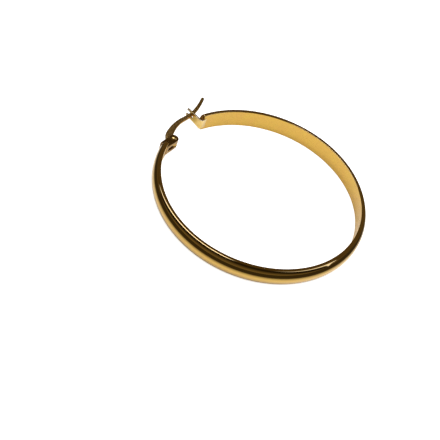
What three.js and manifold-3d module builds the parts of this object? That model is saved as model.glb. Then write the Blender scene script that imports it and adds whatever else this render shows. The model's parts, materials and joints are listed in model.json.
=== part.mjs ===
// A half-round hoop earring, 50 mm across inside, closed by a hinged ear wire.
// The hoop lies on its side: its axis is vertical, its lower rim is at Z = 0,
// and the gap for the ear lobe is towards +Y. Millimetres, +Z up.

import * as THREE from 'three';
import { mergeVertices } from 'three/addons/utils/BufferGeometryUtils.js';
import Module from 'manifold-3d';

const wasm = await Module();
wasm.setup();

// The band: a D section, flat inside and domed outside, bent into an open ring. Its inner
// corners are eased, and a narrow flat rim on each side meets the dome.
const INNER_RADIUS = 25;
const BAND_WIDTH = 4.8;
const CROWN_THICKNESS = 1.75;
const DOME_RADIUS = 3.65;
const CORNER_EASE = 0.25;
const BAND_STEPS = 96;
const DOME_SEGMENTS = 6;

// Places round the hoop are angles from +Y, clockwise: the hinge side is negative.
const HINGE_END_DEG = -23;
const CATCH_END_DEG = 11.3;

// The hinge: a slotted bracket soldered to one end of the band, with a riveted pin.
const PIN_RADIUS = 24.95;
const PIN_DEG = -15;
const EAR_RADIUS = 1.15;
const FITTING_WIDTH = 2.8;
const SLOT_WIDTH = 1.1;
const BRACKET_SLOT_DEPTH = 2.9;
const SOLDER_DEPTH = 0.35;
const RIVET_RADIUS = 0.4;
const RIVET_HEAD_RADIUS = 0.75;
const RIVET_HEAD_HEIGHT = 0.32;
const RIVET_GAP = 0.06;
const ROUND_SIDES = 28;

// The catch: a strip folded at the other end of the band, with a fork in its long leg.
const STRIP_THICKNESS = 0.45;
const CATCH_TIP = { x: 4.5, y: 29.9 };
const CATCH_FOLD = { x: 3.95, y: 24.42 };
const CATCH_HEEL = { x: 6.3, y: 24.6 };
const FORK_DEPTH = 2.4;

// The ear wire: a flat lobe at the pin that narrows to a thin round-ended wire.
// x and y are its centreline from the hoop's axis, width is measured across it.
const WIRE_THICKNESS = 0.9;
const WIRE_EDGE_RADIUS = 0.26;
const LOBE_RADIUS = 1.25;
const LOBE_OFFSET = { x: -0.15, y: 0.1 };
const WIRE_STATIONS = [
  { x: -6.65, y: 24.5, width: 1.7 },
  { x: -6.5, y: 25.4, width: 1.6 },
  { x: -5.85, y: 26.15, width: 1.6 },
  { x: -4.65, y: 26.8, width: 1.45 },
  { x: -3.2, y: 27.4, width: 1.3 },
  { x: -1.5, y: 27.9, width: 1.15 },
  { x: 0.4, y: 28.2, width: 1.02 },
  { x: 3.2, y: 28.25, width: 0.92 },
  { x: 5.25, y: 28.5, width: 0.86 },
  { x: 7.2, y: 29.05, width: 0.82 },
  { x: 9.3, y: 29.85, width: 0.8 },
  { x: 11.1, y: 30.72, width: 0.78 },
];
const WIRE_STEPS = 40;
const END_ARC_STEPS = 8;

const MIDDLE_HEIGHT = BAND_WIDTH / 2;
const pin = onHoop(PIN_RADIUS, PIN_DEG);

// A point at a radius from the hoop's axis, at an angle clockwise from +Y.
function onHoop(radius, degrees) {
  const angle = THREE.MathUtils.degToRad(degrees);
  return new THREE.Vector2(radius * Math.sin(angle), radius * Math.cos(angle));
}

// The line that the band's inner face is bent along.
class HoopArc extends THREE.Curve {
  getPoint(t, target = new THREE.Vector3()) {
    const degrees = THREE.MathUtils.lerp(CATCH_END_DEG, 360 + HINGE_END_DEG, t);
    const place = onHoop(INNER_RADIUS, degrees);
    return target.set(place.x, place.y, 0);
  }
}

// A closed geometry as a solid that can be joined and cut.
function solidOf(geometry) {
  const bare = geometry.clone();
  bare.deleteAttribute('normal');
  bare.deleteAttribute('uv');
  const merged = mergeVertices(bare);
  const vertProperties = new Float32Array(merged.attributes.position.array);
  const triVerts = new Uint32Array(merged.index.array);
  return new wasm.Manifold(new wasm.Mesh({ numProp: 3, vertProperties, triVerts }));
}

// The solid back as a geometry for a mesh.
function geometryOf(solid) {
  const { vertProperties, triVerts } = solid.getMesh();
  const geometry = new THREE.BufferGeometry();
  geometry.setAttribute('position', new THREE.BufferAttribute(vertProperties, 3));
  geometry.setIndex(new THREE.BufferAttribute(triVerts, 1));
  geometry.computeVertexNormals();
  return geometry;
}

// A slab of an outline in the XY plane, as thick as given, centred on the hoop's middle.
function centredSlab(shape, thickness, edge = 0) {
  const depth = thickness - 2 * edge;
  const slab = new THREE.ExtrudeGeometry(shape, {
    depth,
    curveSegments: END_ARC_STEPS,
    bevelEnabled: edge > 0,
    bevelThickness: edge,
    bevelSize: edge,
    bevelOffset: -edge,
    bevelSegments: 2,
  });
  return slab.translate(0, 0, -depth / 2);
}

function uprightCylinder(radius, height, place) {
  const cylinder = new THREE.CylinderGeometry(radius, radius, height, ROUND_SIDES);
  return cylinder.rotateX(Math.PI / 2).translate(place.x, place.y, 0);
}

// The two sides of a ribbon that follows its stations, mitred where it turns.
function ribbonSides(stations) {
  const left = [];
  const right = [];
  stations.forEach((station, i) => {
    const here = new THREE.Vector2(station.x, station.y);
    const last = Math.max(i, 1);
    const next = Math.min(i + 1, stations.length - 1);
    const before = normalBetween(stations[last - 1], stations[last]);
    const after = normalBetween(stations[next - 1], stations[next]);
    const mitre = before.clone().add(after).normalize();
    const reach = station.width / 2 / mitre.dot(before);
    left.push(here.clone().addScaledVector(mitre, reach));
    right.push(here.clone().addScaledVector(mitre, -reach));
  });
  return { left, right };
}

// The unit normal to the left of the way from one point to the next.
function normalBetween(from, to) {
  return new THREE.Vector2(from.y - to.y, to.x - from.x).normalize();
}

// The points of a half turn, counter-clockwise, that joins two ends of a ribbon.
function roundEnd(start, end) {
  const centre = start.clone().add(end).divideScalar(2);
  const points = [];
  for (let i = 1; i < END_ARC_STEPS; i += 1) {
    points.push(start.clone().rotateAround(centre, (Math.PI * i) / END_ARC_STEPS));
  }
  return points;
}

function bandSection() {
  const half = BAND_WIDTH / 2;
  const rimAngle = Math.acos(half / DOME_RADIUS);
  const section = new THREE.Shape();
  section.moveTo(-half, CORNER_EASE);
  section.lineTo(CORNER_EASE - half, 0);
  section.lineTo(half - CORNER_EASE, 0);
  section.lineTo(half, CORNER_EASE);
  section.absarc(0, CROWN_THICKNESS - DOME_RADIUS, DOME_RADIUS, rimAngle, Math.PI - rimAngle);
  return section;
}

function band() {
  return solidOf(new THREE.ExtrudeGeometry(bandSection(), {
    steps: BAND_STEPS,
    curveSegments: DOME_SEGMENTS,
    extrudePath: new HoopArc(),
  }));
}

// The bracket in its own plane: the pin at the origin and the band's end towards +X.
function hingeBracket() {
  const bandEnd = onHoop(INNER_RADIUS + CROWN_THICKNESS / 2, HINGE_END_DEG);
  const towardsBand = bandEnd.clone().sub(pin);
  const length = towardsBand.length() + SOLDER_DEPTH;
  const outline = new THREE.Shape();
  outline.moveTo(length, -EAR_RADIUS);
  outline.lineTo(length, EAR_RADIUS);
  outline.absarc(0, 0, EAR_RADIUS, Math.PI / 2, (3 * Math.PI) / 2);
  const slot = new THREE.BoxGeometry(2 * BRACKET_SLOT_DEPTH, 3 * EAR_RADIUS, SLOT_WIDTH);
  const hole = uprightCylinder(RIVET_RADIUS + RIVET_GAP, 2 * FITTING_WIDTH, { x: 0, y: 0 });
  const bracket = solidOf(centredSlab(outline, FITTING_WIDTH))
    .subtract(solidOf(slot))
    .subtract(solidOf(hole));
  const turn = THREE.MathUtils.radToDeg(towardsBand.angle());
  return bracket.rotate([0, 0, turn]).translate([pin.x, pin.y, 0]);
}

// The strip folded over the band's end, its fork open outwards for the wire.
function forkedCatch() {
  const width = STRIP_THICKNESS;
  const stations = [CATCH_HEEL, CATCH_FOLD, CATCH_TIP].map((place) => ({ ...place, width }));
  const { left, right } = ribbonSides(stations);
  const outline = new THREE.Shape([...right, ...left.reverse()]);
  const strip = solidOf(centredSlab(outline, FITTING_WIDTH));
  return strip.subtract(forkSlot());
}

function forkSlot() {
  const bottom = CATCH_TIP.y - FORK_DEPTH + SLOT_WIDTH / 2;
  const round = new THREE.CylinderGeometry(
    SLOT_WIDTH / 2, SLOT_WIDTH / 2, 4 * STRIP_THICKNESS, ROUND_SIDES);
  round.rotateZ(Math.PI / 2).translate(CATCH_TIP.x, bottom, 0);
  const mouth = new THREE.BoxGeometry(4 * STRIP_THICKNESS, 2 * FORK_DEPTH, SLOT_WIDTH);
  mouth.translate(CATCH_TIP.x, bottom + FORK_DEPTH, 0);
  return solidOf(round).add(solidOf(mouth));
}

function hoopBand() {
  return geometryOf(band().add(hingeBracket()).add(forkedCatch()));
}

// The wire's outline, smooth through its stations, with its width eased between them.
function wireOutline() {
  const route = new THREE.CatmullRomCurve3(
    WIRE_STATIONS.map(({ x, y, width }) => new THREE.Vector3(x, y, width)));
  const stations = route.getPoints(WIRE_STEPS).map(({ x, y, z }) => ({ x, y, width: z }));
  const { left, right } = ribbonSides(stations);
  const tip = roundEnd(right.at(-1), left.at(-1));
  const lobe = roundEnd(left[0], right[0]);
  return new THREE.Shape([...right, ...tip, ...left.reverse(), ...lobe]);
}

function lobeOutline() {
  const lobe = new THREE.Shape();
  return lobe.absarc(pin.x + LOBE_OFFSET.x, pin.y + LOBE_OFFSET.y, LOBE_RADIUS, 0, 2 * Math.PI);
}

function earWire() {
  const [wire, lobe] = [wireOutline(), lobeOutline()].map((outline) =>
    solidOf(centredSlab(outline, WIRE_THICKNESS, WIRE_EDGE_RADIUS)));
  const hole = uprightCylinder(RIVET_RADIUS + RIVET_GAP, 2 * FITTING_WIDTH, pin);
  return geometryOf(wire.add(lobe).subtract(solidOf(hole)));
}

// A shank with a domed head at each end, turned about the pin's axis.
function hingeRivet() {
  const underHead = FITTING_WIDTH / 2 + RIVET_GAP;
  const head = [];
  for (let i = 0; i <= 3; i += 1) {
    const angle = (i * Math.PI) / 6;
    const radius = i < 3 ? RIVET_HEAD_RADIUS * Math.cos(angle) : 0;
    head.push(new THREE.Vector2(radius, underHead + RIVET_HEAD_HEIGHT * Math.sin(angle)));
  }
  const upper = [new THREE.Vector2(RIVET_RADIUS, underHead), ...head];
  const lower = upper.map(({ x, y }) => new THREE.Vector2(x, -y)).reverse();
  const rivet = new THREE.LatheGeometry([...lower, ...upper], ROUND_SIDES);
  return rivet.rotateX(Math.PI / 2).translate(pin.x, pin.y, 0);
}

function piece(name, geometry, color, roughness) {
  const material = new THREE.MeshStandardMaterial({ color, roughness, metalness: 1 });
  const mesh = new THREE.Mesh(geometry, material);
  mesh.name = name;
  mesh.position.z = MIDDLE_HEIGHT;
  return mesh;
}

const earring = new THREE.Group();
earring.add(piece('hoop_band', hoopBand(), 0xd9a94a, 0.14));
earring.add(piece('ear_wire', earWire(), 0xcf9f45, 0.18));
earring.add(piece('hinge_rivet', hingeRivet(), 0xe0b45a, 0.2));

// The origin is on the surface that the hoop lies on, under the middle of its outline.
const outer = new THREE.Box3().setFromObject(earring);
const middle = outer.getCenter(new THREE.Vector3());
earring.position.set(-middle.x, -middle.y, 0);

export default earring;
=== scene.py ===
# A polished half-round hoop earring with a hinged ear wire, lying on its side.
import json
import math

import bmesh
import bpy
from mathutils import Matrix, Vector


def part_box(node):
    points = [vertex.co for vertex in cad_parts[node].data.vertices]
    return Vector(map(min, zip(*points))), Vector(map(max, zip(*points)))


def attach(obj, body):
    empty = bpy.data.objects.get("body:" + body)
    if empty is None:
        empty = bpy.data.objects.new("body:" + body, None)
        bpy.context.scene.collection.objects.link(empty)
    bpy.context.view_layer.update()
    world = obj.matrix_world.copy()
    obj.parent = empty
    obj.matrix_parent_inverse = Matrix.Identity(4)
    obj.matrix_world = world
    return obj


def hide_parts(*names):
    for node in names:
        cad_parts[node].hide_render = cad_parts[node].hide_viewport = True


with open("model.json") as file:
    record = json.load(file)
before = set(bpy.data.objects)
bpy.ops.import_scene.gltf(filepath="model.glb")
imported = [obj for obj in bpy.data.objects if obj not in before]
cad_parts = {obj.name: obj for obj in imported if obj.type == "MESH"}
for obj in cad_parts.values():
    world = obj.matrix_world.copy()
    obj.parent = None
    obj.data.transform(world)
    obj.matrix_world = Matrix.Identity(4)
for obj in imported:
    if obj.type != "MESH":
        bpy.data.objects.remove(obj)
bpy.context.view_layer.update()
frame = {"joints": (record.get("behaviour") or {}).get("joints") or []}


# ---------------------------------------------------------------------------
# Hoop band. A half-round wire of stainless steel, rolled into an open ring, sawn
# off and plated with gold. The domed outside is buffed to a mirror and lacquered;
# the flat inside keeps the fine grain of the rolling, and the sawn ends are dull,
# with a painted shade in their dark umber and bronze.
# ---------------------------------------------------------------------------
MM = 0.001
BAND_WIDTH = 4.8 * MM
CROWN = 1.75 * MM
DOME_RADIUS = 3.65 * MM
DOME_EDGE = 0.32 * MM
CORNER = 0.12 * MM
END_EDGE = 0.12 * MM
HINGE_END = math.radians(-23)
CATCH_END = math.radians(11.3)
CORNER_STEPS, FLAT_STEPS, EDGE_STEPS, DOME_STEPS, RING_STEPS = 8, 12, 7, 40, 400
# Faces that meet at more than this angle show a sharp edge between them.
CREASE = math.radians(38)

band_low, band_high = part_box("hoop_band")
outer_radius = (band_high.x - band_low.x) / 2
inner_radius = outer_radius - CROWN
hoop_middle = Vector(((band_low.x + band_high.x) / 2, band_low.y + outer_radius,
                      (band_low.z + band_high.z) / 2))


def on_hoop(radius, angle, height=0.0):
    """A place round the hoop: the angle is clockwise from the gap, the height from mid-width."""
    return hoop_middle + Vector((radius * math.sin(angle), radius * math.cos(angle), height))


def arc_points(centre, radii, start, end, steps):
    """Points of an elliptical arc in a plane, both ends included."""
    turns = [start + (end - start) * i / steps for i in range(steps + 1)]
    return [(centre[0] + radii[0] * math.cos(t), centre[1] + radii[1] * math.sin(t)) for t in turns]


def band_section(inset):
    """The D section as (outward, height) points, drawn in by an inset."""
    half = BAND_WIDTH / 2
    soft = (CORNER - inset, CORNER - inset)
    edge = (DOME_EDGE - inset, DOME_EDGE - inset)
    dome = (DOME_RADIUS - inset, DOME_RADIUS - inset)
    dome_centre = CROWN - DOME_RADIUS
    shoulder = math.asin((half - DOME_EDGE) / (DOME_RADIUS - DOME_EDGE))
    edge_out = dome_centre + (DOME_RADIUS - DOME_EDGE) * math.cos(shoulder)
    edge_up = half - DOME_EDGE
    points = arc_points((CORNER, CORNER - half), soft, 1.5 * math.pi, math.pi, CORNER_STEPS)
    points += [(inset, (half - CORNER) * (2 * i / FLAT_STEPS - 1)) for i in range(1, FLAT_STEPS)]
    points += arc_points((CORNER, half - CORNER), soft, math.pi, 0.5 * math.pi, CORNER_STEPS)
    points += arc_points((edge_out, edge_up), edge, 0.5 * math.pi, shoulder, EDGE_STEPS)
    points += arc_points((dome_centre, 0), dome, shoulder, -shoulder, DOME_STEPS)[1:-1]
    points += arc_points((edge_out, -edge_up), edge, -shoulder, -0.5 * math.pi, EDGE_STEPS)
    return points


def loft(name, rings, body):
    """A closed skin over rings of points, each end closed by a fan round its middle."""
    mesh = bpy.data.meshes.new(name)
    count = len(rings[0])
    points = [p for ring in rings for p in ring]
    faces = []
    for r in range(len(rings) - 1):
        for i in range(count):
            j = (i + 1) % count
            faces.append((r * count + i, r * count + j, (r + 1) * count + j, (r + 1) * count + i))
    for ring, flip in ((0, True), (len(rings) - 1, False)):
        hub = len(points)
        points.append(sum(rings[ring], Vector()) / count)
        for i in range(count):
            fan = (ring * count + i, ring * count + (i + 1) % count, hub)
            faces.append(fan[::-1] if flip else fan)
    mesh.from_pydata(points, [], faces)
    return finished(name, mesh, body)


def placed(name, data):
    """A new object in the scene, from its mesh, lamp or camera data."""
    thing = bpy.data.objects.new(name, data)
    bpy.context.scene.collection.objects.link(thing)
    return thing


def finished(name, mesh, body):
    """Turns a mesh's faces outwards, smooths its shading and lets it ride on a body."""
    work = bmesh.new()
    work.from_mesh(mesh)
    bmesh.ops.remove_doubles(work, verts=work.verts, dist=MM / 10000)
    bmesh.ops.recalc_face_normals(work, faces=work.faces)
    for face in work.faces:
        face.smooth = True
    for edge in work.edges:
        edge.smooth = edge.calc_face_angle(0.0) < CREASE
    work.to_mesh(mesh)
    work.free()
    piece = placed(name, mesh)
    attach(piece, body)
    return piece


def band_rings():
    """The sections along the ring, drawn in a little at both ends for a soft edge."""
    first, last = CATCH_END, 2 * math.pi + HINGE_END
    middle_radius = inner_radius + CROWN / 2
    eased = [i * math.pi / 8 for i in range(5)]
    ends = [(END_EDGE * (1 - math.cos(t)) / middle_radius, END_EDGE * (1 - math.sin(t)))
            for t in eased]
    places = [(first + turn, inset) for turn, inset in ends]
    span = last - first - 2 * ends[-1][0]
    places += [(first + ends[-1][0] + span * i / RING_STEPS, 0.0) for i in range(1, RING_STEPS)]
    places += [(last - turn, inset) for turn, inset in reversed(ends)]
    return [[on_hoop(inner_radius + out, angle, up) for out, up in band_section(inset)]
            for angle, inset in places]


class Socket:
    """A node's output that adds Math nodes when it is used in an expression."""

    def __init__(self, paint, output):
        self.paint, self.output = paint, output

    def math(self, operation, *others):
        values = dict(enumerate((self,) + others))
        return self.paint.node("ShaderNodeMath", {"operation": operation}, values)

    def __add__(self, other):
        return self.math("ADD", other)

    def __sub__(self, other):
        return self.math("SUBTRACT", other)

    def __mul__(self, other):
        return self.math("MULTIPLY", other)

    def __rsub__(self, other):
        return (self * -1) + other

    __radd__ = __add__
    __rmul__ = __mul__

    def clamp(self):
        return self.math("MAXIMUM", 0.0).math("MINIMUM", 1.0)


class Paint:
    """The node tree of a material or of the surround, filled from empty."""

    def __init__(self, owner):
        owner.use_nodes = True
        self.owner, self.tree = owner, owner.node_tree
        self.tree.nodes.clear()

    def node(self, kind, settings=None, inputs=None, output=0):
        made = self.tree.nodes.new(kind)
        for key, value in (settings or {}).items():
            if key == "stops":
                ramp_stops(made.color_ramp, value)
            else:
                setattr(made, key, value)
        for key, value in (inputs or {}).items():
            if isinstance(value, Socket):
                self.tree.links.new(value.output, made.inputs[key])
            else:
                made.inputs[key].default_value = value
        return Socket(self, made.outputs[output]) if made.outputs else None


def ramp_stops(ramp, stops):
    while len(ramp.elements) < len(stops):
        ramp.elements.new(0.5)
    for element, (place, color) in zip(ramp.elements, stops):
        element.position, element.color = place, color


GOLD = (0.67, 0.43, 0.085, 1.0)
ROSY_GOLD = (0.66, 0.39, 0.09, 1.0)
# This pale tone is a painted highlight, and the three darker ones below it are painted shade.
HIGHLIGHT_PALE_GOLD = (0.88, 0.69, 0.34, 1.0)
SHADE_OLD_GOLD = (0.56, 0.33, 0.06, 1.0)
SHADE_BRONZE = (0.42, 0.25, 0.06, 1.0)
SHADE_UMBER = (0.20, 0.10, 0.03, 1.0)
MIRROR = 0.045
SATIN = 0.27
POLISH_SCATTER = 0.04
LACQUER = 0.5
LACQUER_POLISH = 0.04
LACQUER_INDEX = 1.5
# How many clouds, buffing marks and rolling lines there are to a metre.
CLOUDS = 420.0
BUFFING = 6000.0
ROLLING = (400, 400, 9000)
# How far the clouds' tone is drawn apart, and where it begins.
CLOUD_CONTRAST, CLOUD_START = 2.2, 0.6
# How deep the marks, lines and clouds are beside one another, and how strongly all show.
BUFFING_RELIEF, ROLLING_RELIEF, CLOUD_RELIEF = 0.15, 2.0, 6.0
RELIEF = 0.35


def gold_plate(name, polish, satin_face=False, tones=(GOLD, ROSY_GOLD)):
    """Gold plating, faintly clouded and buffed; darker tones passed in are painted shade, a paler
    one a painted highlight. With a satin inner face, the rest is lacquered.
    """
    paint = Paint(bpy.data.materials.new(name))
    place = paint.node("ShaderNodeTexCoord", output="Object")
    cloud = paint.node("ShaderNodeTexNoise", {}, {"Vector": place, "Scale": CLOUDS, "Detail": 3.0})
    blend = (cloud * CLOUD_CONTRAST - CLOUD_START).clamp()
    tone = paint.node("ShaderNodeMix", {"data_type": "RGBA"},
                      {"Factor": blend, "A": tones[0], "B": tones[1]}, output=2)
    fine = paint.node("ShaderNodeTexNoise", {}, {"Vector": place, "Scale": BUFFING, "Detail": 2.0})
    rough = fine * POLISH_SCATTER + (polish - POLISH_SCATTER / 2)
    relief = fine * BUFFING_RELIEF
    lacquer = 0.0
    if satin_face:
        inside = inner_face(paint, place)
        lacquer = LACQUER - inside * LACQUER
        rough = rough + inside * (SATIN - polish)
        lines = rolling_grain(paint, place) * ROLLING_RELIEF
        relief = relief + inside * (lines + cloud * CLOUD_RELIEF)
    bump = paint.node("ShaderNodeBump", {},
                      {"Strength": RELIEF, "Distance": MM / 1000, "Height": relief})
    shader = paint.node("ShaderNodeBsdfPrincipled", {}, {
        "Metallic": 1.0, "Base Color": tone, "Roughness": rough, "Normal": bump,
        "Coat Weight": lacquer, "Coat Roughness": LACQUER_POLISH, "Coat IOR": LACQUER_INDEX})
    paint.node("ShaderNodeOutputMaterial", {}, {"Surface": shader})
    return paint.owner


def from_axis(paint, place):
    """How far a place is from the hoop's own axis."""
    offset = paint.node("ShaderNodeVectorMath", {"operation": "SUBTRACT"},
                        {0: place, 1: hoop_middle})
    flat = paint.node("ShaderNodeVectorMath", {"operation": "MULTIPLY"}, {0: offset, 1: (1, 1, 0)})
    return paint.node("ShaderNodeVectorMath", {"operation": "LENGTH"}, {0: flat}, output="Value")


def inner_face(paint, place):
    """One on the flat inner face, fading to nothing up the rounded corners."""
    fade = 0.04 * MM
    return (from_axis(paint, place) * (-1 / fade) + (inner_radius + 1.2 * fade) / fade).clamp()


def rolling_grain(paint, place):
    """Fine lines along the band, left by the rolls."""
    stretched = paint.node("ShaderNodeVectorMath", {"operation": "MULTIPLY"},
                           {0: place, 1: ROLLING})
    return paint.node("ShaderNodeTexNoise", {}, {"Vector": stretched, "Scale": 1.0, "Detail": 2.0})


# A face whose normal lies this closely along the ring belongs to a sawn end.
SAWN_FACING = 0.95

band = loft("half_round_band", band_rings(), "hoop")
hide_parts("hoop_band")
band.data.materials.append(gold_plate("band_gold", MIRROR, satin_face=True))
# Painted shade: the sawn ends' dark umber and bronze stand in for the shade they lie in.
band.data.materials.append(gold_plate("sawn_end_painted_shade", polish=0.4, tones=(SHADE_UMBER, SHADE_BRONZE)))
for face in band.data.polygons:
    centre = face.center - hoop_middle
    around = Vector((centre.y, -centre.x, 0)).normalized()
    face.material_index = int(abs(face.normal.dot(around)) > SAWN_FACING)


# ---------------------------------------------------------------------------
# Hinge rivet. A short gold-plated pin, peened to a low dome at both ends. It
# goes through both ears of the bracket and the lobe of the ear wire.
# ---------------------------------------------------------------------------
FITTING_WIDTH = 2.8 * MM
SHANK_RADIUS = 0.4 * MM
HEAD_RADIUS = 0.72 * MM
HEAD_HEIGHT = 0.3 * MM
HEAD_GAP = 0.01 * MM
TOP_RADIUS = 0.01 * MM
RUNNING_GAP = 0.06 * MM

pin = Vector(frame["joints"][0]["pos_m"])


def turned(name, profile, centre, body, sides=64):
    """A round piece turned about an upright axis, from (radius, height) pairs."""
    rings = []
    for radius, height in profile:
        turns = [2 * math.pi * i / sides for i in range(sides)]
        rings.append([centre + Vector((radius * math.cos(t), radius * math.sin(t), height))
                      for t in turns])
    return loft(name, rings, body)


def rivet_profile():
    """The rivet's half outline as (radius, height) pairs, from its top to its bottom."""
    under = FITTING_WIDTH / 2 + HEAD_GAP
    rounding = arc_points((0, 0), (HEAD_RADIUS, HEAD_HEIGHT), 0.46 * math.pi, 0.0, 14)
    dome = [(TOP_RADIUS, HEAD_HEIGHT)] + rounding
    upper = [(r, under + z) for r, z in dome] + [(SHANK_RADIUS, under)]
    return upper + [(r, -z) for r, z in reversed(upper)]


rivet = turned("hinge_rivet_peened", rivet_profile(), pin, "hoop")
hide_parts("hinge_rivet")
# Painted shade: the rivet's dark bronze stands in for the dark reflections on its head.
rivet.data.materials.append(gold_plate("rivet_painted_shade", polish=0.14, tones=(SHADE_BRONZE, GOLD)))


# ---------------------------------------------------------------------------
# Hinge bracket. A small block with a round nose, slotted for the wire's lobe
# and drilled for the rivet, then soldered to the end of the band.
# ---------------------------------------------------------------------------
EAR_RADIUS = 1.15 * MM
SLOT = 1.1 * MM
SLOT_DEPTH = 3.15 * MM
SOLDER_DEPTH = 0.35 * MM
EAR_EDGE = 0.22 * MM
# A plate's edges are rounded where its faces meet at more than this angle.
EDGE_ANGLE = math.radians(40)


def plate(name, outline, thickness, cutters, edge, body):
    """A plate cut to an outline, centred on the mid-width plane, carved and soft-edged."""
    work = bmesh.new()
    floor_points = [work.verts.new((x, y, hoop_middle.z - thickness / 2)) for x, y in outline]
    base = work.faces.new(floor_points)
    raised = bmesh.ops.extrude_face_region(work, geom=[base])
    top = [v for v in raised["geom"] if isinstance(v, bmesh.types.BMVert)]
    bmesh.ops.translate(work, verts=top, vec=(0, 0, thickness))
    bmesh.ops.recalc_face_normals(work, faces=work.faces)
    mesh = bpy.data.meshes.new(name)
    work.to_mesh(mesh)
    work.free()
    piece = placed(name + "_blank", mesh)
    for cutter in cutters:
        cut = piece.modifiers.new("cut", "BOOLEAN")
        cut.operation, cut.object, cut.solver = "DIFFERENCE", cutter, "EXACT"
    soften = piece.modifiers.new("soften", "BEVEL")
    soften.width, soften.segments, soften.limit_method = edge, 5, "ANGLE"
    soften.angle_limit = EDGE_ANGLE
    graph = bpy.context.evaluated_depsgraph_get()
    baked = bpy.data.meshes.new_from_object(piece.evaluated_get(graph))
    for scrap in [piece] + cutters:
        bpy.data.objects.remove(scrap)
    baked.name = name
    return finished(name, baked, body)


def cutter_of(work):
    """A cutter of a finished shape, which the plate takes away once it has cut."""
    mesh = bpy.data.meshes.new("cutter")
    work.to_mesh(mesh)
    work.free()
    return placed("cutter", mesh)


def block(size, centre, angle=0.0):
    """A plain cutter block, turned about the upright by an angle."""
    work = bmesh.new()
    bmesh.ops.create_cube(work, size=1.0)
    scale = Matrix.Diagonal((*size, 1.0))
    work.transform(Matrix.Translation(centre) @ Matrix.Rotation(angle, 4, "Z") @ scale)
    return cutter_of(work)


def drill(radius, length, centre, turn, sides=64):
    """A plain round cutter: upright, then laid over by a rotation matrix."""
    work = bmesh.new()
    bmesh.ops.create_cone(work, cap_ends=True, segments=sides, radius1=radius, radius2=radius,
                          depth=length)
    work.transform(Matrix.Translation(centre) @ turn)
    return cutter_of(work)


band_end = on_hoop(inner_radius + CROWN / 2, HINGE_END)
along = band_end - pin
along.z = 0
bracket_length = along.length + SOLDER_DEPTH
bracket_turn = math.atan2(along.y, along.x)


def bracket_outline():
    """A round nose about the pin and straight sides that run into the band's end."""
    nose = arc_points((0, 0), (EAR_RADIUS, EAR_RADIUS), 0.5 * math.pi, 1.5 * math.pi, 48)
    corners = nose + [(bracket_length, -EAR_RADIUS), (bracket_length, EAR_RADIUS)]
    turn = Matrix.Rotation(bracket_turn, 2)
    return [(turn @ Vector(p)) + pin.xy for p in corners]


slot_cut = block((2 * SLOT_DEPTH, 3 * EAR_RADIUS, SLOT), pin, bracket_turn)
pin_hole = drill(SHANK_RADIUS + RUNNING_GAP, 2 * FITTING_WIDTH, pin, Matrix())
bracket_cuts = [slot_cut, pin_hole]
bracket = plate("hinge_bracket", bracket_outline(), FITTING_WIDTH, bracket_cuts, EAR_EDGE, "hoop")
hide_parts("hoop_band")
# Painted shade: the bracket's umber and bronze darken it to the shade and dark reflections of the
# hinge.
bracket.data.materials.append(gold_plate("bracket_painted_shade", polish=0.16, tones=(SHADE_UMBER, SHADE_BRONZE)))


# ---------------------------------------------------------------------------
# Forked catch. A tongue of strip folded at the end of the band: its short leg
# is soldered in under the flat inner face, its long leg stands out past the
# dome, tapers, and is notched so that the wire snaps in between two tines.
# ---------------------------------------------------------------------------
STRIP = 0.45 * MM
FORK_DEPTH = 2.4 * MM
FORK_WIDTH = 2.25 * MM
FORK_SLOT = 1.08 * MM
TONGUE_WIDTH = 2.9 * MM
TINE_EDGE = 0.1 * MM
CATCH_TIP = hoop_middle + Vector((4.5, 29.9, 0)) * MM
CATCH_FOLD = hoop_middle + Vector((3.95, 24.42, 0)) * MM
CATCH_HEEL = hoop_middle + Vector((6.3, 24.6, 0)) * MM
FOLD_RADIUS = 0.12 * MM
FOLD_STEPS = 10


def bent_strip(tip, fold, heel):
    """The strip's edge outline: two straight legs with a round bend between them."""
    legs = [(tip - fold).normalized(), (heel - fold).normalized()]
    half_angle = legs[0].angle(legs[1]) / 2
    bisector = (legs[0] + legs[1]).normalized()
    centre = fold + bisector * ((FOLD_RADIUS + STRIP / 2) / math.sin(half_angle))
    normals = []
    for leg in legs:
        foot = fold + leg * (centre - fold).dot(leg)
        normals.append((foot - centre).normalized())
    start = math.atan2(normals[0].y, normals[0].x)
    sweep = -normals[0].xy.angle_signed(normals[1].xy)
    turns = [start + sweep * i / FOLD_STEPS for i in range(FOLD_STEPS + 1)]
    rays = [Vector((math.cos(t), math.sin(t))) for t in turns]
    outer = [centre.xy + ray * (FOLD_RADIUS + STRIP) for ray in rays]
    inner = [centre.xy + ray * FOLD_RADIUS for ray in rays]
    tip_side = normals[0].xy * STRIP / 2
    heel_side = normals[1].xy * STRIP / 2
    outside = [tip.xy + tip_side] + outer + [heel.xy + heel_side]
    inside = [heel.xy - heel_side] + inner[::-1] + [tip.xy - tip_side]
    return outside + inside


fork_floor = CATCH_TIP - Vector((0, FORK_DEPTH - FORK_SLOT / 2, 0))
mouth = fork_floor + Vector((0, FORK_DEPTH, 0))
fork_cuts = [
    drill(FORK_SLOT / 2, 4 * STRIP, fork_floor, Matrix.Rotation(math.pi / 2, 4, "Y")),
    block((4 * STRIP, 2 * FORK_DEPTH, FORK_SLOT), mouth),
]
catch_outline = bent_strip(CATCH_TIP, CATCH_FOLD, CATCH_HEEL)
catch = plate("forked_catch", catch_outline, FORK_WIDTH, fork_cuts, TINE_EDGE, "hoop")
# The tongue widens from the bottom of the fork down to the fold.
for vertex in catch.data.vertices:
    way_down = (fork_floor.y - vertex.co.y) / (fork_floor.y - CATCH_FOLD.y)
    spread = 1 + (TONGUE_WIDTH / FORK_WIDTH - 1) * min(max(way_down, 0.0), 1.0)
    vertex.co.z = hoop_middle.z + (vertex.co.z - hoop_middle.z) * spread
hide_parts("hoop_band")
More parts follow.
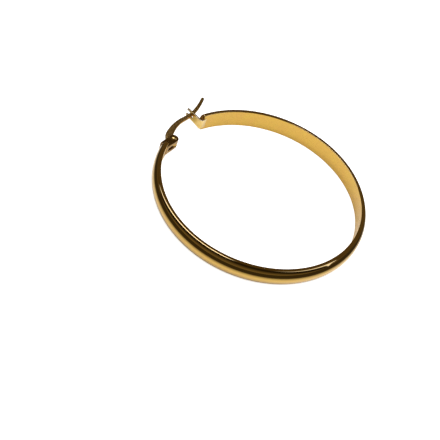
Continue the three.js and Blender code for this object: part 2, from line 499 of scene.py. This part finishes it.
# Painted highlight: the catch's pale gold stands in for the softbox mirrored in its face.
catch.data.materials.append(gold_plate("catch_painted_highlight", polish=0.16, tones=(HIGHLIGHT_PALE_GOLD, GOLD)))


# ---------------------------------------------------------------------------
# Ear wire. One drawn wire of the same metal, pressed to a flat lobe where the
# rivet holds it and left to narrow to a thin round end that slides through the
# ear and clips into the fork.
# ---------------------------------------------------------------------------
WIRE_THICKNESS = 0.9 * MM
WIRE_NOSE = 0.39 * MM
STEPS_TO_A_CUT, WIRE_SIDES, NOSE_STEPS = 12, 40, 8
# Each row is a cut across the wire: its outer side and its inner side from the
# hoop's middle, in millimetres, and how square its section is (2 is round).
WIRE_CUTS = [
    ((-6.62, 22.96), (-6.50, 22.96), 4.5),
    ((-7.45, 23.25), (-5.72, 23.22), 4.5),
    ((-7.88, 24.05), (-5.34, 24.0), 4.5),
    ((-7.80, 24.95), (-5.50, 24.7), 4.5),
    ((-7.38, 25.85), (-5.60, 25.12), 4.3),
    ((-6.45, 26.87), (-5.12, 25.57), 4.2),
    ((-5.10, 27.60), (-4.20, 26.05), 4.0),
    ((-3.48, 28.16), (-2.93, 26.68), 3.6),
    ((-1.66, 28.60), (-1.35, 27.24), 3.2),
    ((0.36, 28.83), (0.44, 27.60), 3.0),
    ((3.17, 28.80), (3.25, 27.72), 2.8),
    ((5.13, 29.01), (5.37, 28.0), 2.7),
    ((7.04, 29.52), (7.36, 28.58), 2.6),
    ((9.12, 30.28), (9.48, 29.42), 2.5),
    ((11.06, 31.17), (11.44, 30.39), 2.4),
]


def wire_side(side, parameter):
    """A smooth curve through one side's points (Catmull-Rom)."""
    points = [Vector(cut[side]) for cut in WIRE_CUTS]
    spot = min(int(parameter), len(points) - 2)
    t = parameter - spot
    a, b, c, d = [points[min(max(spot + k, 0), len(points) - 1)] for k in (-1, 0, 1, 2)]
    bend = 2 * a - 5 * b + 4 * c - d
    twist = 3 * b - a - 3 * c + d
    return 0.5 * (2 * b + (c - a) * t + bend * t ** 2 + twist * t ** 3)


def wire_rings():
    """The sections along the wire, from its lobe to its tip, closed by a rounded nose."""
    rings = []
    steps = STEPS_TO_A_CUT * (len(WIRE_CUTS) - 1)
    for i in range(steps + 1):
        parameter = i * (len(WIRE_CUTS) - 1) / steps
        outer, inner = wire_side(0, parameter), wire_side(1, parameter)
        spot = min(int(parameter), len(WIRE_CUTS) - 2)
        blend = parameter - spot
        square = WIRE_CUTS[spot][2] * (1 - blend) + WIRE_CUTS[spot + 1][2] * blend
        middle, reach = (outer + inner) / 2, (outer - inner) / 2
        ring = []
        for k in range(WIRE_SIDES):
            t = 2 * math.pi * k / WIRE_SIDES
            across = math.copysign(abs(math.cos(t)) ** (2 / square), math.cos(t))
            up = math.copysign(abs(math.sin(t)) ** (2 / square), math.sin(t))
            spot_xy = (middle + reach * across) * MM
            ring.append(hoop_middle + Vector((spot_xy.x, spot_xy.y, up * WIRE_THICKNESS / 2)))
        rings.append(ring)
    last = rings[-1]
    forward = (sum(rings[-1], Vector()) - sum(rings[-3], Vector())).normalized()
    middle = sum(last, Vector()) / len(last)
    for k in range(1, NOSE_STEPS):
        t = k * math.pi / (2 * NOSE_STEPS)
        ahead = forward * WIRE_NOSE * math.sin(t)
        rings.append([middle + (p - middle) * math.cos(t) + ahead for p in last])
    return rings


wire = loft("ear_wire_drawn", wire_rings(), "ear_wire")
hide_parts("ear_wire")
# Painted shade: the wire's bronze and dark old gold stand in for the dark room mirrored on its top.
wire.data.materials.append(gold_plate("wire_gold", polish=0.31, tones=(SHADE_BRONZE, SHADE_OLD_GOLD)))


# ---------------------------------------------------------------------------
# Studio. A pale matt table, a dark warm room with two softboxes that shows only
# in reflections, an overhead lamp that shows in none, and a camera that looks
# down at the hoop from the hinge's side.
# ---------------------------------------------------------------------------
AZIMUTH = math.radians(-65)
ELEVATION = math.radians(44.48)
ROLL = math.radians(-22.98)
DISTANCE = 250 * MM
FOCAL = 84.45
SENSOR = 36.0
AIM_LEFT = 9.80 * MM
AIM_DOWN = 6.73 * MM
TABLE_SIDE = 4.0
TABLE_PAINT = (0.93, 0.93, 0.925, 1.0)
TABLE_GLOW = (0.07, 0.07, 0.065, 1.0)
TABLE_SEEN = (0.7, 0.7, 0.7, 1.0)
TABLE_LIT = 28.4 * MM
TABLE_SHADE = 33.5 * MM
TABLE_DARK = (0.05, 0.04, 0.025, 1.0)


def table_top():
    """A pale table, brightest to the camera; mirrored, it falls dark outside the hoop."""
    half = TABLE_SIDE / 2
    corners = [(-half, -half, 0), (half, -half, 0), (half, half, 0), (-half, half, 0)]
    mesh = bpy.data.meshes.new("table_top")
    mesh.from_pydata(corners, [], [(0, 1, 2, 3)])
    table = placed("table_top", mesh)
    paint = Paint(bpy.data.materials.new("pale_table"))
    seen = paint.node("ShaderNodeLightPath", output="Is Camera Ray")
    glow = paint.node("ShaderNodeMix", {"data_type": "RGBA"},
                      {"Factor": seen, "A": TABLE_GLOW, "B": TABLE_SEEN}, output=2)
    pale = paint.node("ShaderNodeBsdfPrincipled", {}, {
        "Base Color": TABLE_PAINT, "Roughness": 0.9, "Specular IOR Level": 0.1,
        "Emission Color": glow, "Emission Strength": 1.0})
    shade = paint.node("ShaderNodeEmission", {}, {"Color": TABLE_DARK})
    place = paint.node("ShaderNodeTexCoord", output="Object")
    beyond = (from_axis(paint, place) - TABLE_LIT) * (1 / (TABLE_SHADE - TABLE_LIT))
    mirrored = paint.node("ShaderNodeLightPath", output="Is Glossy Ray")
    surface = paint.node("ShaderNodeMixShader", {},
                         {0: beyond.clamp() * mirrored, 1: pale, 2: shade})
    paint.node("ShaderNodeOutputMaterial", {}, {"Surface": surface})
    mesh.materials.append(paint.owner)


table_top()

level_right = Vector((math.cos(AZIMUTH), math.sin(AZIMUTH), 0))
level_back = Vector((-math.sin(AZIMUTH), math.cos(AZIMUTH), 0))
toward_camera = Vector((math.sin(AZIMUTH) * math.cos(ELEVATION),
                        -math.cos(AZIMUTH) * math.cos(ELEVATION), math.sin(ELEVATION)))
level_up = toward_camera.cross(level_right)

BLACK, GREY, WHITE = (0.0, 0.0, 0.0, 1.0), (0.4, 0.4, 0.4, 1.0), (1.0, 1.0, 1.0, 1.0)
# The room as it curves overhead, from the far horizon at 0 to the near one at 1,
# and where across it, from left to right, its two softboxes hang.
ROOM = [
    (0.0, (0.15, 0.12, 0.075, 1)),
    (0.2, (0.12, 0.09, 0.052, 1)),
    (0.39, (0.05, 0.034, 0.018, 1)),
    (0.86, (0.016, 0.012, 0.007, 1)),
    (1.0, (0.22, 0.18, 0.12, 1)),
]
SOFTBOX_RISE = [(0.345, BLACK), (0.36, WHITE), (0.52, WHITE), (0.56, BLACK)]
SOFTBOX_WIDTHS = [(0.05, BLACK), (0.28, WHITE), (0.48, WHITE), (0.51, BLACK),
                  (0.66, BLACK), (0.72, GREY)]
SOFTBOX_GLOW = (3.4, 3.9, 7.6)
BACKDROP = (0.66, 0.66, 0.655, 1.0)


def surround():
    """The gold mirrors the room; the table is lit by a plain backdrop, which the camera sees."""
    world = bpy.data.worlds.new("surround")
    bpy.context.scene.world = world
    paint = Paint(world)
    way = paint.node("ShaderNodeTexCoord", output="Generated")
    back, up, across = [
        paint.node("ShaderNodeVectorMath", {"operation": "DOT_PRODUCT"}, {0: way, 1: axis},
                   output="Value")
        for axis in (level_back, (0, 0, 1), level_right)]
    turn = up.math("ARCTAN2", back) * (1 / math.pi)
    room = paint.node("ShaderNodeValToRGB", {"stops": ROOM}, {"Fac": turn})
    rise = paint.node("ShaderNodeValToRGB", {"stops": SOFTBOX_RISE}, {"Fac": turn})
    width = paint.node("ShaderNodeValToRGB", {"stops": SOFTBOX_WIDTHS}, {"Fac": across * 0.5 + 0.5})
    softbox = paint.node("ShaderNodeVectorMath", {"operation": "SCALE"},
                         {0: SOFTBOX_GLOW, "Scale": rise * width})
    mirrored = paint.node("ShaderNodeVectorMath", {"operation": "ADD"}, {0: room, 1: softbox})
    glossy = paint.node("ShaderNodeLightPath", output="Is Glossy Ray")
    color = paint.node("ShaderNodeMix", {"data_type": "RGBA"},
                       {"Factor": glossy, "A": BACKDROP, "B": mirrored}, output=2)
    glow = paint.node("ShaderNodeBackground", {}, {"Color": color})
    paint.node("ShaderNodeOutputWorld", {}, {"Surface": glow})


surround()


LAMP_PLACE = level_right * 0.10 + level_back * 0.02 + Vector((0, 0, 0.45))
LAMP_SIZE = 0.4
LAMP_WATTS = 1.5

lamp_data = bpy.data.lights.new("overhead_lamp", "AREA")
lamp_data.shape, lamp_data.size, lamp_data.energy = "DISK", LAMP_SIZE, LAMP_WATTS
lamp = placed("overhead_lamp", lamp_data)
lamp.location = LAMP_PLACE
lamp.rotation_euler = (hoop_middle - LAMP_PLACE).to_track_quat("-Z", "Y").to_euler()
lamp.visible_glossy = False

right = level_right * math.cos(ROLL) - level_up * math.sin(ROLL)
up = level_right * math.sin(ROLL) + level_up * math.cos(ROLL)
camera_data = bpy.data.cameras.new("camera")
camera_data.lens, camera_data.sensor_width = FOCAL, SENSOR
camera_data.clip_start, camera_data.clip_end = 0.01, 10.0
camera = placed("camera", camera_data)
stand = hoop_middle + toward_camera * DISTANCE
look = (stand - (hoop_middle - right * AIM_LEFT - up * AIM_DOWN)).normalized()
side = up.cross(look).normalized()
axes = Matrix((side, look.cross(side), look)).transposed()
camera.matrix_world = Matrix.Translation(stand) @ axes.to_4x4()
bpy.context.scene.camera = camera
bpy.context.scene.view_settings.view_transform = "Standard"
